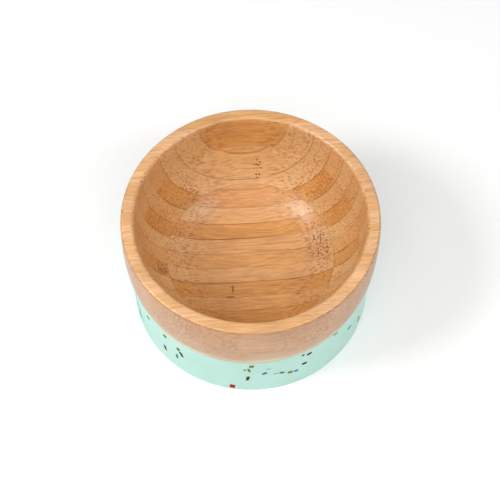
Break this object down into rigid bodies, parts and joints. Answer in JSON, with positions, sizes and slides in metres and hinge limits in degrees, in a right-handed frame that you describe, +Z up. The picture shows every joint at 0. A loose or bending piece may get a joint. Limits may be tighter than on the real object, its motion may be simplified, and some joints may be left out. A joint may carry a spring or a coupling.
{
  "type": "suction bowl",
  "caption": "Round laminated bamboo feeding bowl gripped by a speckled mint silicone suction base with a release tab at the back.",
  "frame": {"origin": "on the table plane, under the middle of the whole object's box, release tab included; the bowl's axis is 6.2 mm forward of it", "axes": "+Z up along the bowl's axis, +Y to the back where the release tab is, +X to the right seen from the front"},
  "size_m": [0.125, 0.1374, 0.07],
  "materials": {
    "bamboo": "turned laminated bamboo under a satin food-safe coat",
    "silicone": "moulded food-grade silicone, matt, slightly translucent",
    "chip_maroon": "coloured silicone chip moulded into the wall",
    "chip_red": "coloured silicone chip moulded into the wall",
    "chip_olive": "coloured silicone chip moulded into the wall",
    "chip_yellow": "coloured silicone chip moulded into the wall",
    "chip_teal": "coloured silicone chip moulded into the wall",
    "chip_blue": "coloured silicone chip moulded into the wall",
    "chip_pale_teal": "coloured silicone chip moulded into the wall"
  },
  "bodies": {
    "base": {"suction_base": "silicone", "chip_01_pale_teal": "chip_pale_teal", "chip_02_teal": "chip_teal", "chip_03_olive": "chip_olive", "chip_04_blue": "chip_blue", "chip_05_pale_teal": "chip_pale_teal", "chip_06_teal": "chip_teal", "chip_07_olive": "chip_olive", "chip_08_maroon": "chip_maroon", "chip_09_olive": "chip_olive", "chip_10_teal": "chip_teal", "chip_11_maroon": "chip_maroon", "chip_12_yellow": "chip_yellow", "chip_13_olive": "chip_olive", "chip_14_olive": "chip_olive", "chip_15_maroon": "chip_maroon", "chip_16_red": "chip_red", "chip_17_teal": "chip_teal", "chip_18_pale_teal": "chip_pale_teal", "chip_19_pale_teal": "chip_pale_teal", "chip_20_teal": "chip_teal", "chip_21_olive": "chip_olive", "chip_22_blue": "chip_blue", "chip_23_maroon": "chip_maroon", "chip_24_maroon": "chip_maroon", "chip_25_maroon": "chip_maroon", "chip_26_teal": "chip_teal", "chip_27_teal": "chip_teal", "chip_28_maroon": "chip_maroon", "chip_29_olive": "chip_olive", "chip_30_blue": "chip_blue", "chip_31_maroon": "chip_maroon", "chip_32_teal": "chip_teal", "chip_33_yellow": "chip_yellow", "chip_34_red": "chip_red", "chip_35_olive": "chip_olive", "chip_36_pale_teal": "chip_pale_teal", "chip_37_teal": "chip_teal", "chip_38_maroon": "chip_maroon", "chip_39_olive": "chip_olive", "chip_40_blue": "chip_blue", "chip_41_maroon": "chip_maroon", "chip_42_teal": "chip_teal", "chip_43_yellow": "chip_yellow", "chip_44_red": "chip_red", "chip_45_olive": "chip_olive", "chip_46_pale_teal": "chip_pale_teal", "chip_47_teal": "chip_teal", "chip_48_maroon": "chip_maroon", "chip_49_olive": "chip_olive", "chip_50_blue": "chip_blue", "chip_51_maroon": "chip_maroon", "chip_52_teal": "chip_teal"},
    "bowl": {"bowl_bottom_board": "bamboo", "bowl_middle_board": "bamboo", "bowl_top_board": "bamboo"},
    "release_tab": {"release_tab": "silicone"}
  },
  "joints": [
    {"name": "bowl_lift", "type": "slide", "parent": "base", "child": "bowl", "axis": [0, 0, 1], "range_m": [0, 0.04]},
    {"name": "tab_flex", "type": "hinge", "parent": "base", "child": "release_tab", "pos_m": [0, 0.0547, 0.002], "axis": [1, 0, 0], "range_deg": [0, 60], "stiffness_Nm_per_rad": 0.01}
  ]
}
